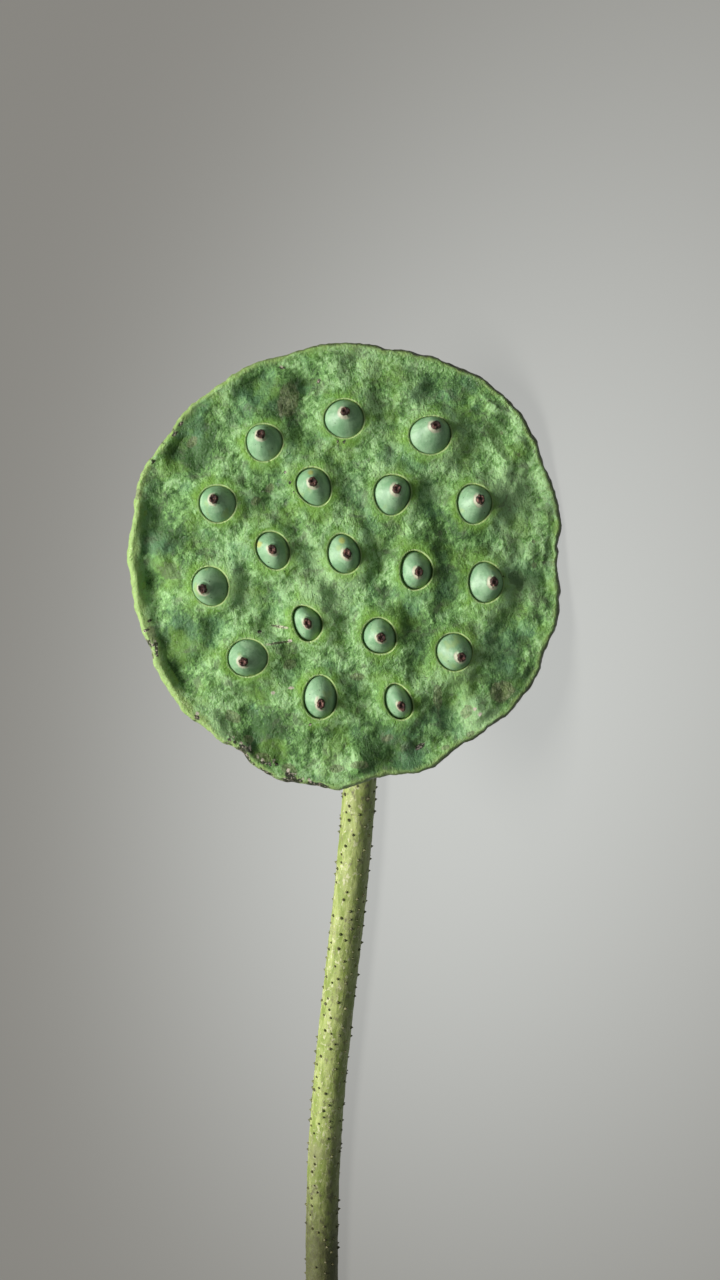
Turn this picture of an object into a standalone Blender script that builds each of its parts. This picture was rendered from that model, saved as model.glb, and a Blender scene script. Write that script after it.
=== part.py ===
"""A fresh lotus seed pod on its cut stem, laid on a table.

The pod is described in its own frame, in millimetres: u runs across the face, v runs up it, away
from the stem, and w points straight out of it. The pod lies on three low places, the edge of its
face, the bend of its neck and the cut end of its stem, so its face looks up and to the front.
World metres have +Z up, +X from the cut end towards the head and -Y on the side of the face.
"""

import math
import random

import bmesh
import bpy
from mathutils import Matrix, Vector, geometry, noise

MM = 0.001

# How the pod lies: the face's tilt above the horizon, the turn of its lowest point from +u towards
# +v, and the world place of the middle of the face in millimetres.
FACE_ELEVATION = math.radians(37.0)
FACE_ROLL = math.radians(8.0)
FACE_CENTRE = Vector((92.1, -37.4, 44.8))

# Lobes and notches of the face's outline: degrees anticlockwise from +u, and radius.
RIM_POINTS = (
    (0, 51.2), (5, 51.7), (12, 53.4), (23, 53.8), (28, 54.0), (34, 55.3), (43, 56.3), (54, 56.1),
    (64, 55.1), (72, 54.4), (80, 53.5), (85, 53.9), (97, 53.8), (106, 53.2), (116, 53.8),
    (126, 53.5), (136, 54.0), (145, 53.4), (156, 54.4), (169, 52.8), (177, 53.0), (184, 52.2),
    (196, 52.1), (203, 51.5), (209, 52.5), (217, 52.7), (223, 53.1), (228, 52.0), (234, 52.4),
    (240, 51.6), (246, 53.6), (252, 54.4), (260, 53.9), (267, 54.4), (280, 51.9), (292, 53.4),
    (302, 51.8), (310, 52.4), (320, 53.4), (330, 53.5), (337, 52.3), (343, 53.1), (352, 52.5),
    (360, 51.2),
)  # fmt: skip
MEAN_RIM = 53.5

# Each seed's mouth in the face: u, v, width across u, height along v, anticlockwise turn in
# degrees, and the share and direction of its three-sided swelling. Then how far the seed sits back
# from a flush fit, and how far its apex leans along u and v.
SEEDS = (
    (-0.4, 35.1, 9.8, 9.5, -8, 0.015, -51, 0.0, 0.3, 0.1),
    (20.3, 31.2, 10.3, 9.3, 8, 0.014, 48, 0.0, 0.5, 0.9),
    (-19.6, 29.4, 9.0, 9.1, 7, 0.023, 16, 0.0, 0.1, 0.6),
    (-30.8, 14.7, 9.2, 9.0, -20, 0.016, 34, 0.0, 0.5, 0.4),
    (-7.7, 18.8, 8.3, 9.8, 32, 0.026, 55, 0.2, 0.2, 0.2),
    (11.1, 16.9, 9.0, 9.9, -10, 0.035, 25, 0.2, 0.7, 0.5),
    (30.8, 14.7, 8.6, 9.7, 2, 0.025, 17, 0.1, 0.2, 0.3),
    (-17.5, 3.5, 7.9, 9.7, 32, 0.016, 45, 0.2, 0.7, 0.0),
    (-0.5, 2.6, 8.0, 9.8, 16, 0.019, -18, 0.3, 0.9, -0.1),
    (16.8, -1.3, 8.0, 9.5, 2, 0.035, -3, 0.8, 0.1, -0.4),
    (33.5, -4.2, 8.5, 10.0, 4, 0.018, -3, 0.1, 0.7, 0.2),
    (-32.5, -5.1, 8.8, 9.7, 25, 0.010, 53, 0.1, -0.4, -0.5),
    (-9.3, -14.0, 7.0, 9.0, 25, 0.048, 12, 0.7, 0.5, 0.5),
    (8.0, -17.1, 8.2, 8.9, 30, 0.030, -35, 0.5, 0.2, 0.3),
    (-23.6, -22.3, 9.9, 9.1, 3, 0.007, -6, 0.0, 0.1, -0.1),
    (26.0, -20.9, 8.9, 9.3, 20, 0.010, 40, 0.2, 0.7, -0.4),
    (-6.2, -31.8, 8.3, 10.6, 0, 0.015, -25, 0.2, 0.5, -0.3),
    (12.6, -32.9, 6.6, 9.1, 24, 0.027, -14, 0.7, 0.3, 0.2),
)
SEED_FOCUS = Vector((0.0, 0.0, -150.0))  # every seed's axis runs through this point behind the face
SEED_SHIFT = 0.014  # how far a seed sits outwards in its mouth, as a share of u and v
SEED_SWELL = 1.32  # the seed's widest radius against its mouth's
SEED_CROWN = 9.2  # from the widest place up to the apex
SEED_ROOT = 7.0  # from the widest place down to the base
CROWN_POWER = 1.75
TIP_POWER = 0.6  # 0.5 makes a round tip, more a pointed one
SEED_GAP = 0.35  # clear space between a seed and its chamber
LEAN_DEPTH = 4.0  # how far down from the apex its lean reaches
SEED_LEVELS = (0.5, 1.4, 2.8, 4.9, 9.2, 12.2, 14.9)  # rings of a seed, down from its apex
SEED_SIDES = 12
STUB_RINGS = ((0.9, 1.05), (-0.1, 1.45))  # the dry stigma on the apex: height and radius

# Relief of the face.
DOME_DROP = 2.2  # the middle stands this much above the edge
COLLAR_RISE = 1.2  # the swelling round each mouth, and how far out it reaches
COLLAR_REACH = 2.8
LUMP_RISE = 1.3  # soft lumps between the seeds, and how far apart they are
LUMP_SPACING = 8.0
DIMPLE_RISE = 0.6
DIMPLE_SPACING = 3.6
TROUGH_WIDTH = 0.05
# The dip inside the lip is in two stretches: the direction of each in degrees, how far it reaches
# either way, its depth, and its share of the outline.
TROUGHS = ((200, 65, 1.2, 0.9), (0, 40, 0.8, 0.79))
TROUGH_LEAST = 0.25  # its depth between them
# Single bumps and hollows: u, v, reach, and rise, negative for a hollow.
BUMPS = (
    (-42.8, -14.8, 3.0, 0.9), (-40.0, -18.5, 3.0, -1.0), (-40.5, -27.0, 3.5, -0.9),
    (-33.0, -39.0, 3.0, 0.7), (-22.9, -40.7, 3.0, -1.1), (3.0, -46.0, 3.2, 1.0),
    (7.4, -40.0, 2.5, -1.2), (10.5, -45.0, 4.5, -1.0), (17.0, -44.5, 2.6, -0.8),
    (26.0, -35.5, 3.0, -0.8), (32.0, -34.5, 3.5, 0.8), (37.0, 37.5, 3.0, 0.9),
    (29.5, 25.0, 4.5, -0.8), (20.6, 43.5, 2.2, -0.8), (5.6, 47.5, 3.0, 0.7),
    (-10.0, 43.5, 3.0, -0.9), (-40.5, 27.5, 3.5, -0.9), (-45.0, 10.0, 3.0, -0.6),
)  # fmt: skip
FOLD_RISE = 0.9  # radial folds that cross the trough
FOLD_SPACING = 0.16
LIP_WAVE = 1.0  # the edge's slow rise and fall

# The net of points on the face: its spacing, and the rings round each mouth and inside the edge.
GRID = 4.2
MOUTH_OFFSETS = (0.35, 1.5, 3.2)
EDGE_INSETS = (3.6, 6.0)
MOUTH_STEPS = ((0.0, 0.4),)  # the mouth's rounded edge: offset, and depth below the face

# The lip: distance in from the outline, and rise above the edge. The back: depth, and share of the
# outline.
LIP_STEPS = ((1.9, 0.1), (0.9, 0.25), (0.25, -0.35), (0.0, -1.3), (0.35, -2.4), (1.2, -3.3))
BACK_STEPS = (
    (5.0, 0.955), (9.0, 0.895), (14.5, 0.805), (20.5, 0.685), (26.5, 0.545),
    (32.0, 0.400), (36.5, 0.275), (40.0, 0.190), (42.5, 0.155),
)  # fmt: skip
BASE_DEPTH = 42.5
BASE_OFFSET = 5.6  # the back leans to +u
BACK_RIBS = 22
RIB_RISE = 0.32
SPOKES = 72

# The stem: it leaves the head straight back, bends down to the table and runs along it.
STEM_RADIUS = 4.45
STEM_FOOT_RADIUS = 4.8
STEM_LENGTH = 255.0
STEM_SIDES = 12
STEM_STEP = 3.2
JOINT_GAP = 0.3
COLLAR_STEPS = ((0.0, 7.7), (1.3, 8.3), (2.8, 8.0), (4.3, 6.8), (6.5, 5.7), (10.0, 4.9), (15.0, 4.45))
NECK = 7.0  # the straight part between the head and the bend
HEADING = math.radians(13.4)  # on the table, from -X towards the back
STEM_BOW = -1.2  # how far its middle bows to the front, and its S-shaped sway
STEM_SWAY = 3.0
ARCH_RISE = 1.6  # the stem's middle clears the table by this
SAG = 0.25  # how far the stem's low places are pressed flat
PRICKLES = 190
PRICKLE_REACH = 0.65  # from a prickle's middle to a corner of its foot
PRICKLE_RISE = 0.65
CANALS = 6  # air canals that open in the cut end
CANAL_RING = 2.4
CANAL_RADIUS = 0.9
CANAL_DEPTH = 5.0

FINISHES = {
    "receptacle": ((0.16, 0.33, 0.09, 1.0), 0.6),
    "seed": ((0.22, 0.38, 0.24, 1.0), 0.4),
    "stem": ((0.42, 0.46, 0.13, 1.0), 0.55),
}


def pod_axes():
    """World X, Y and Z as directions in the pod's frame."""
    level = math.cos(FACE_ELEVATION)
    up = Vector((-level * math.cos(FACE_ROLL), -level * math.sin(FACE_ROLL), math.sin(FACE_ELEVATION)))
    along = Vector((0.0, 1.0, 0.0)) - up.y * up
    along.normalize()
    return along, up.cross(along), up


POD_TO_WORLD = Matrix(pod_axes())


def laid(point):
    """A pod point as it lies in the world, still in millimetres."""
    return POD_TO_WORLD @ Vector(point) + FACE_CENTRE


def turns(count):
    """Angles evenly round a circle."""
    return [2 * math.pi * i / count for i in range(count)]


def smooth(share):
    """0 up to 0, 1 from 1, and a smooth step between."""
    share = min(1.0, max(0.0, share))
    return share * share * (3.0 - 2.0 * share)


def hill(distance, reach):
    """A rounded hill of height 1."""
    return math.exp(-((distance / reach) ** 2))


def rim_radius(angle):
    """The outline's radius: each lobe or notch runs to the next one as half a cosine wave."""
    degrees = math.degrees(angle) % 360.0
    for (start, before), (end, after) in zip(RIM_POINTS, RIM_POINTS[1:]):
        if degrees <= end:
            break
    share = (1 - math.cos(math.pi * (degrees - start) / (end - start))) / 2
    return before + (after - before) * share


def mouth_distance(u, v):
    """How far a point of the face is from the nearest mouth's edge, negative inside it."""
    nearest = MEAN_RIM
    for seed_u, seed_v, width, height, turn, *_ in SEEDS:
        cosine, sine = math.cos(math.radians(turn)), math.sin(math.radians(turn))
        across = ((u - seed_u) * cosine + (v - seed_v) * sine) / (width / 2)
        along = ((v - seed_v) * cosine - (u - seed_u) * sine) / (height / 2)
        nearest = min(nearest, (math.hypot(across, along) - 1) * (width + height) / 4)
    return nearest


def lip_wave(angle):
    """The edge's slow rise and fall round the face."""
    return LIP_WAVE * noise.noise(Vector((math.cos(angle), math.sin(angle), 0.4)) * 2.6)


def trough(angle, share):
    """The dip inside the lip, deeper in two stretches of it."""
    depth = TROUGH_LEAST * hill(share - 0.9, TROUGH_WIDTH)
    for middle, reach, deepest, place in TROUGHS:
        off = (math.degrees(angle) - middle + 180) % 360 - 180
        depth += deepest * hill(off, reach) * hill(share - place, TROUGH_WIDTH)
    return depth


def face_height(u, v):
    """The face's relief: a shallow dome, collars round the mouths, lumps, folds and the trough."""
    angle = math.atan2(v, u)
    share = math.hypot(u, v) / rim_radius(angle)
    away = max(0.0, mouth_distance(u, v))
    lumps = noise.noise(Vector((u, v, 3.0)) / LUMP_SPACING) * LUMP_RISE
    dimples = noise.noise(Vector((u, v, 17.0)) / DIMPLE_SPACING) * DIMPLE_RISE
    around = Vector((math.cos(angle), math.sin(angle), share)) / FOLD_SPACING
    folds = noise.noise(around) * FOLD_RISE * smooth((share - 0.72) / 0.15)
    bumps = sum(rise * hill(math.hypot(u - bu, v - bv), reach) for bu, bv, reach, rise in BUMPS)
    collar = COLLAR_RISE * hill(away - 0.5, COLLAR_REACH)
    edge = lip_wave(angle) * smooth((share - 0.72) / 0.2) - DOME_DROP * share**2
    return collar + edge - trough(angle, share) + smooth(away / 4.0) * (lumps + dimples + folds + bumps)


def lip_point(angle, inset, rise):
    """A point of the rounded lip, by its distance in from the outline and up from the edge."""
    radius = rim_radius(angle) - inset
    return Vector((radius * math.cos(angle), radius * math.sin(angle), rise - DOME_DROP + lip_wave(angle)))


def back_point(angle, depth, share):
    """A point of the funnel-shaped back, ribbed, and rounder and further to +u with depth."""
    deep = depth / BASE_DEPTH
    wander = 2.0 * noise.noise(Vector((math.cos(angle), math.sin(angle), deep)) * 1.7)
    ribs = RIB_RISE * math.sin(BACK_RIBS * angle + wander) * smooth(3 * (1 - deep)) * smooth(4 * deep)
    radius = (rim_radius(angle) * (1 - deep) + MEAN_RIM * deep) * share + ribs
    centre = BASE_OFFSET * deep**1.5
    wave = lip_wave(angle) * (1 - deep)
    return Vector((centre + radius * math.cos(angle), radius * math.sin(angle), wave - depth))


class SeedSite:
    """Where one seed sits: its mouth's middle on the face, its axes and its size."""

    def __init__(self, row):
        u, v, width, height, turn, self.egg, way, sink, *lean = row
        self.turn = math.radians(turn)
        self.way = math.radians(way - turn)
        self.size = (width / 2, height / 2)
        self.middle = Vector((u, v, 0.0))
        places = [self.on_face(0.0, angle) for angle in turns(SEED_SIDES)]
        edge = [Vector((*place, face_height(*place) - 0.4)) for place in places]
        self.middle.z = sum(spot.z for spot in edge) / SEED_SIDES
        self.seat = self.middle + SEED_SHIFT * Vector((u, v, 0.0))
        self.axis = (self.seat - SEED_FOCUS).normalized()
        side = Vector((math.cos(self.turn), math.sin(self.turn), 0.0))
        self.across = (side - side.dot(self.axis) * self.axis).normalized()
        self.along = self.axis.cross(self.across)
        self.lean = Vector((*lean, 0.0))
        self.mouth = (width + height) / 4
        self.widest = self.mouth * SEED_SWELL
        self.crown = min(self.clear_crown(spot - self.seat) for spot in edge) - sink

    def on_face(self, offset, angle):
        """The face's u and v at an angle round the mouth, an offset out from its edge."""
        swell = 1 + self.egg * math.cos(3 * (angle - self.way))
        across = (self.size[0] * swell + offset) * math.cos(angle)
        along = (self.size[1] * swell + offset) * math.sin(angle)
        cosine, sine = math.cos(self.turn), math.sin(self.turn)
        return self.middle.x + across * cosine - along * sine, self.middle.y + across * sine + along * cosine

    def clear_crown(self, spot):
        """How high the apex can stand above the seat when the seed clears a spot of its mouth's edge."""
        height = spot.dot(self.axis)
        across = spot.dot(self.across) / self.size[0] * self.mouth
        along = spot.dot(self.along) / self.size[1] * self.mouth
        fill = ((math.hypot(across, along) - SEED_GAP) / self.widest) ** (1 / TIP_POWER)
        return height + SEED_CROWN * (1 - (1 - fill) ** (1 / CROWN_POWER))

    def radius(self, level):
        """The seed's mean radius at a distance down from its apex."""
        if level < SEED_CROWN:
            return self.widest * (1 - (1 - level / SEED_CROWN) ** CROWN_POWER) ** TIP_POWER
        return self.widest * math.sqrt(max(0.0, 1 - ((level - SEED_CROWN) / SEED_ROOT) ** 2))

    def ring(self, level, radius, sides):
        """A ring of pod points round the axis, at a distance down from the apex."""
        centre = self.seat + self.axis * (self.crown - level) + self.lean * smooth(1 - level / LEAN_DEPTH)
        across = self.across * (radius * self.size[0] / self.mouth)
        along = self.along * (radius * self.size[1] / self.mouth)
        return [centre + across * math.cos(angle) + along * math.sin(angle) for angle in turns(sides)]

    def chamber_rings(self):
        """Rings from the rounded edge of the mouth down the wall of the chamber, and its floor."""
        rings = []
        for offset, depth in MOUTH_STEPS:
            places = [self.on_face(offset, angle) for angle in turns(SEED_SIDES)]
            rings.append([Vector((*place, face_height(*place) - depth)) for place in places])
        start = self.crown + 1.0 + self.mouth * math.hypot(self.axis.x, self.axis.y)
        for level in [start] + [level for level in SEED_LEVELS if level > start + 0.7]:
            radius = self.radius(level) + SEED_GAP
            if level < SEED_CROWN:
                radius = max(radius, self.mouth)
            rings.append(self.ring(level, radius, SEED_SIDES))
        return rings, self.seat + self.axis * (self.crown - SEED_CROWN - SEED_ROOT - SEED_GAP)

    def seed_rings(self):
        """Rings of the seed from the top of its dry stub down, and its base."""
        rings = [self.ring(-height, radius, SEED_SIDES) for height, radius in STUB_RINGS]
        rings += [self.ring(level, self.radius(level), SEED_SIDES) for level in SEED_LEVELS]
        return rings, self.seat + self.axis * (self.crown - SEED_CROWN - SEED_ROOT)


def face_net(sites):
    """Points of the face, and the closed loops among them: the face's edge and then each mouth."""
    points = []
    for inset in EDGE_INSETS:
        for angle in turns(SPOKES):
            radius = rim_radius(angle) - inset
            points.append((radius * math.cos(angle), radius * math.sin(angle)))
    loops = [range(SPOKES)]
    for site in sites:
        loops.append(range(len(points), len(points) + SEED_SIDES))
        points += [site.on_face(offset, angle) for offset in MOUTH_OFFSETS for angle in turns(SEED_SIDES)]
    rows = int(MEAN_RIM / GRID) + 2
    for row in range(-rows, rows + 1):
        for column in range(-rows, rows + 1):
            u, v = GRID * (column + 0.5 * (row % 2)), GRID * 0.866 * row
            inside = rim_radius(math.atan2(v, u)) - math.hypot(u, v) - EDGE_INSETS[-1]
            if inside > GRID / 2 and mouth_distance(u, v) > MOUTH_OFFSETS[-1] + GRID / 2:
                points.append((u, v))
    return points, loops


def face_triangles(points, loops):
    """Triangles over the net, none across a mouth or outside the edge."""
    edges = [(loop[i - 1], loop[i]) for loop in loops for i in range(len(loop))]
    flat = [Vector(point) for point in points]
    placed, _, triangles, sources, _, _ = geometry.delaunay_2d_cdt(flat, edges, [], 0, 1e-5)
    owner = {index: number for number, loop in enumerate(loops) for index in loop}
    kept = []
    for triangle in triangles:
        corners = [sources[index][0] for index in triangle]
        owners = {owner.get(index) for index in corners}
        middle = sum((placed[index] for index in triangle), Vector((0.0, 0.0))) / 3
        outline = rim_radius(math.atan2(middle.y, middle.x)) - EDGE_INSETS[0]
        across_mouth = len(owners) == 1 and owners.isdisjoint({None, 0})
        if not across_mouth and (owners != {0} or middle.length < outline):
            kept.append(corners)
    return kept


def join_rows(mesh, row, following):
    """Four-sided faces between two rings of vertices."""
    for i in range(len(row)):
        mesh.faces.new((row[i - 1], row[i], following[i], following[i - 1]))


def add_rows(mesh, row, rings, tip):
    """Joins a ring of vertices to further rings of pod points, and closes the last at the tip."""
    for ring in rings:
        following = [mesh.verts.new(laid(point) * MM) for point in ring]
        join_rows(mesh, row, following)
        row = following
    apex = mesh.verts.new(laid(tip) * MM)
    for i in range(len(row)):
        mesh.faces.new((row[i - 1], row[i], apex))


def finished(name, mesh):
    """A mesh block from a bmesh, its faces turned outwards."""
    bmesh.ops.recalc_face_normals(mesh, faces=mesh.faces)
    data = bpy.data.meshes.new(name)
    mesh.to_mesh(data)
    mesh.free()
    return data


def receptacle_mesh(sites):
    """The head: the face with its mouths, a chamber behind each, the lip and the back."""
    points, loops = face_net(sites)
    mesh = bmesh.new()
    verts = [mesh.verts.new(laid((u, v, face_height(u, v))) * MM) for u, v in points]
    for corners in face_triangles(points, loops):
        mesh.faces.new([verts[index] for index in corners])
    for site, loop in zip(sites, loops[1:]):
        add_rows(mesh, [verts[index] for index in loop], *site.chamber_rings())
    rings = [[lip_point(angle, *step) for angle in turns(SPOKES)] for step in LIP_STEPS]
    rings += [[back_point(angle, *step) for angle in turns(SPOKES)] for step in BACK_STEPS]
    add_rows(mesh, [verts[index] for index in loops[0]], rings, (BASE_OFFSET, 0.0, -BASE_DEPTH))
    return finished("receptacle", mesh)


def seed_mesh(site, name):
    """One seed with the dry stub on its apex."""
    rings, base = site.seed_rings()
    mesh = bmesh.new()
    first = [mesh.verts.new(laid(point) * MM) for point in rings[0]]
    mesh.faces.new(first)
    add_rows(mesh, first, rings[1:], base)
    return finished(name, mesh)


def stem_route():
    """The stem's middle line in world millimetres, as distances from the head and points."""
    base = laid((BASE_OFFSET, 0.0, -BASE_DEPTH - JOINT_GAP))
    back = POD_TO_WORLD @ Vector((0.0, 0.0, -1.0))
    onward = Vector((-math.cos(HEADING), math.sin(HEADING), 0.0))
    aside = Vector((-math.sin(HEADING), -math.cos(HEADING), 0.0))
    heading = onward + aside * math.pi * (STEM_BOW + 2 * STEM_SWAY) / (0.9 * STEM_LENGTH)
    heading.normalize()
    turn = back.angle(heading)
    inward = (heading - back * math.cos(turn)) / math.sin(turn)
    bend = ((base.z - STEM_RADIUS + SAG) / -back.z - NECK) / math.tan(turn / 2)
    flat = STEM_LENGTH - NECK - bend * turn
    route = []
    travelled = 0.0
    while travelled < STEM_LENGTH:
        angle = min(turn, max(0.0, travelled - NECK) / bend)
        place = base + back * min(travelled, NECK)
        place += bend * (back * math.sin(angle) + inward * (1 - math.cos(angle)))
        share = max(0.0, travelled - NECK - bend * turn) / flat
        sway = STEM_BOW * math.sin(math.pi * share) + STEM_SWAY * math.sin(2 * math.pi * share)
        place += share * flat * onward + sway * aside
        place.z += ARCH_RISE * math.sin(math.pi * share) + (STEM_FOOT_RADIUS - STEM_RADIUS) * share
        route.append((travelled, place))
        travelled += STEM_STEP if travelled >= COLLAR_STEPS[-1][0] else STEM_STEP / 2
    return route


def stem_radius(travelled):
    """The stem's radius: the scar collar and neck, then a slow swelling towards the cut end."""
    for (start, before), (end, after) in zip(COLLAR_STEPS, COLLAR_STEPS[1:]):
        if travelled < end:
            return before + (after - before) * smooth((travelled - start) / (end - start))
    share = (travelled - COLLAR_STEPS[-1][0]) / (STEM_LENGTH - COLLAR_STEPS[-1][0])
    wobble = 0.08 * noise.noise(Vector((travelled / 20.0, 0.0, 8.0)))
    swelling = (STEM_FOOT_RADIUS - STEM_RADIUS) * share
    return STEM_RADIUS + swelling + wobble * smooth(6 * share) * smooth(6 - 6 * share)


def stem_mesh(route):
    """The stem as a round tube along its middle line, without twist."""
    mesh = bmesh.new()
    side = POD_TO_WORLD @ Vector((1.0, 0.0, 0.0))
    rows = []
    for index, (travelled, place) in enumerate(route):
        ahead = route[min(index + 1, len(route) - 1)][1] - route[max(index - 1, 0)][1]
        ahead.normalize()
        side = (side - side.dot(ahead) * ahead).normalized()
        other = ahead.cross(side)
        radius = stem_radius(travelled)
        spots = [place + radius * (side * math.cos(t) + other * math.sin(t)) for t in turns(STEM_SIDES)]
        rows.append([mesh.verts.new(spot * MM) for spot in spots])
    for row, following in zip(rows, rows[1:]):
        join_rows(mesh, row, following)
    mesh.faces.new(rows[0])
    mesh.faces.new(rows[-1])
    bmesh.ops.recalc_face_normals(mesh, faces=mesh.faces)
    raise_prickles(mesh)
    return finished("stem", mesh)


def raise_prickles(mesh):
    """Raises a small pyramid from some of the stem's side faces, all round it."""
    chance = random.Random(5)
    sides = [face for face in mesh.faces if len(face.verts) == 4]
    for face in chance.sample(sides[8 * STEM_SIDES : -STEM_SIDES], PRICKLES):
        outward = face.normal.copy()
        corners = [vert.co.copy() for vert in face.verts]
        middle = face.calc_center_median() + (corners[0] - corners[1]) * chance.uniform(-0.15, 0.15)
        middle += (corners[1] - corners[2]) * chance.uniform(-0.15, 0.15)
        apex = middle + outward * (PRICKLE_RISE * MM)
        if apex.z < 0.4 * MM:
            continue
        bmesh.ops.inset_individual(mesh, faces=[face], thickness=0.3 * MM)
        for vert in face.verts:
            vert.co = middle + (vert.co - middle).normalized() * (PRICKLE_REACH * MM)
        bmesh.ops.poke(mesh, faces=[face])["verts"][0].co = apex


def add_rod(mesh, start, end, radius, sides):
    """Adds a closed rod between two points, in millimetres."""
    along = (end - start).normalized()
    side = along.cross(Vector((0.0, 0.0, 1.0))).normalized()
    other = along.cross(side)
    rows = []
    for middle in (start, end):
        spots = [middle + radius * (side * math.cos(t) + other * math.sin(t)) for t in turns(sides)]
        rows.append([mesh.verts.new(spot * MM) for spot in spots])
    join_rows(mesh, *rows)
    mesh.faces.new(rows[0])
    mesh.faces.new(rows[1])


def canal_mesh(route):
    """What is cut from the stem's end: a ring of air canals."""
    end = route[-1][1]
    inward = (route[-2][1] - end).normalized()
    side = inward.cross(Vector((0.0, 0.0, 1.0))).normalized()
    other = inward.cross(side)
    mesh = bmesh.new()
    for turn in turns(CANALS):
        middle = end + CANAL_RING * (side * math.cos(turn) + other * math.sin(turn))
        add_rod(mesh, middle - 3 * inward, middle + CANAL_DEPTH * inward, CANAL_RADIUS, 8)
    return finished("canals", mesh)


def table_mesh():
    """A slab whose top is the table."""
    mesh = bmesh.new()
    bmesh.ops.create_cube(mesh, size=1.0)
    bmesh.ops.scale(mesh, vec=(0.6, 0.6, 0.02), verts=mesh.verts)
    bmesh.ops.translate(mesh, vec=(0.0, 0.0, -0.01), verts=mesh.verts)
    return finished("table", mesh)


def material(name):
    """The plain finish of one kind of piece."""
    colour, roughness = FINISHES[name]
    made = bpy.data.materials.get(name) or bpy.data.materials.new(name)
    made.use_nodes = True
    shader = made.node_tree.nodes["Principled BSDF"]
    shader.inputs["Base Color"].default_value = colour
    shader.inputs["Roughness"].default_value = roughness
    shader.inputs["Metallic"].default_value = 0.0
    return made


def add_piece(name, data, finish):
    """Links a mesh as a piece of the pod."""
    piece = bpy.data.objects.new(name, data)
    bpy.context.scene.collection.objects.link(piece)
    data.materials.append(material(finish))
    data.shade_smooth()
    data.set_sharp_from_angle(angle=math.radians(50))
    return piece


def cut(piece, data):
    """Cuts a mesh from a piece."""
    cutter = bpy.data.objects.new(f"{data.name}_cutter", data)
    bpy.context.scene.collection.objects.link(cutter)
    cutter.hide_render = True
    cutter.display_type = "WIRE"
    modifier = piece.modifiers.new(cutter.name, "BOOLEAN")
    modifier.operation = "DIFFERENCE"
    modifier.solver = "EXACT"
    modifier.object = cutter


def build():
    """Makes the head, its seeds and the stem."""
    for obj in list(bpy.data.objects):
        bpy.data.objects.remove(obj)
    sites = [SeedSite(row) for row in SEEDS]
    table = table_mesh()
    head = add_piece("receptacle", receptacle_mesh(sites), "receptacle")
    cut(head, table)
    for number, site in enumerate(sites, 1):
        name = f"seed_{number:02d}"
        add_piece(name, seed_mesh(site, name), "seed")
    route = stem_route()
    stem = add_piece("stem", stem_mesh(route), "stem")
    cut(stem, canal_mesh(route))
    cut(stem, table)


build()
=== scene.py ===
"""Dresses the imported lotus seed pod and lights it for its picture.

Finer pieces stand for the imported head, seeds and stem. They repeat the part's own formulas with a
closer net, and add the small relief, the prickles and the paint. Pod points are in millimetres: u
runs across the face, v up it, away from the stem, and w straight out of it.
"""

import cmath
import random
from math import atan2, cos, degrees, exp, hypot, pi, radians, sin, sqrt, tan

import bmesh
import bpy
from mathutils import Matrix, Vector, geometry, noise


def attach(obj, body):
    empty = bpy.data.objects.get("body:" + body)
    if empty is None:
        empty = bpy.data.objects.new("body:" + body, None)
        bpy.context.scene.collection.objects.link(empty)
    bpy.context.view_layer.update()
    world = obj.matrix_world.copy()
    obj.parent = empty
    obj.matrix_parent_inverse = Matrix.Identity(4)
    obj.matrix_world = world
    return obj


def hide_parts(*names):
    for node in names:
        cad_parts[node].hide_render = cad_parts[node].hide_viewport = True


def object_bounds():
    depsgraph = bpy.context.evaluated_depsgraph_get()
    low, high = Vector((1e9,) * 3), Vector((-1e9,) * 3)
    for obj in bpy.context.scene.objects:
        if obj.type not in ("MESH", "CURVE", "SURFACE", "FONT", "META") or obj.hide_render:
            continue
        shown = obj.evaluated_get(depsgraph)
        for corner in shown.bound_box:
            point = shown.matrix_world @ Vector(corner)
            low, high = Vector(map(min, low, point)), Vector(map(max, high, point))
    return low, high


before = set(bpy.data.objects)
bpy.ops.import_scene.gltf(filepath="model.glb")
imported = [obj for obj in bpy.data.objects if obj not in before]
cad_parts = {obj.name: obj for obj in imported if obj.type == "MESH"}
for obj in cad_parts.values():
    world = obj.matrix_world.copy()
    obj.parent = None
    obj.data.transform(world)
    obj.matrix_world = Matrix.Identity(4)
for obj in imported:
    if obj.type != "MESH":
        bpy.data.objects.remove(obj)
CAD_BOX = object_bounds()
MM = 0.001

# How the pod lies.
FACE_ELEVATION = radians(37.0)
FACE_ROLL = radians(8.0)
FACE_CENTRE = Vector((92.1, -37.4, 44.8))

# Lobes and notches of the face's outline: degrees anticlockwise from +u, and radius.
RIM_POINTS = (
    (0, 51.2), (5, 51.7), (12, 53.4), (23, 53.8), (28, 54), (34, 55.3), (43, 56.3), (54, 56.1),
    (64, 55.1), (72, 54.4), (80, 53.5), (85, 53.9), (97, 53.8), (106, 53.2), (116, 53.8),
    (126, 53.5), (136, 54), (145, 53.4), (156, 54.4), (169, 52.8), (177, 53), (184, 52.2),
    (196, 52.1), (203, 51.5), (209, 52.5), (217, 52.7), (223, 53.1), (228, 52), (234, 52.4),
    (240, 51.6), (246, 53.6), (252, 54.4), (260, 53.9), (267, 54.4), (280, 51.9), (292, 53.4),
    (302, 51.8), (310, 52.4), (320, 53.4), (330, 53.5), (337, 52.3), (343, 53.1), (352, 52.5),
    (360, 51.2),
)
MEAN_RIM = 53.5

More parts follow.
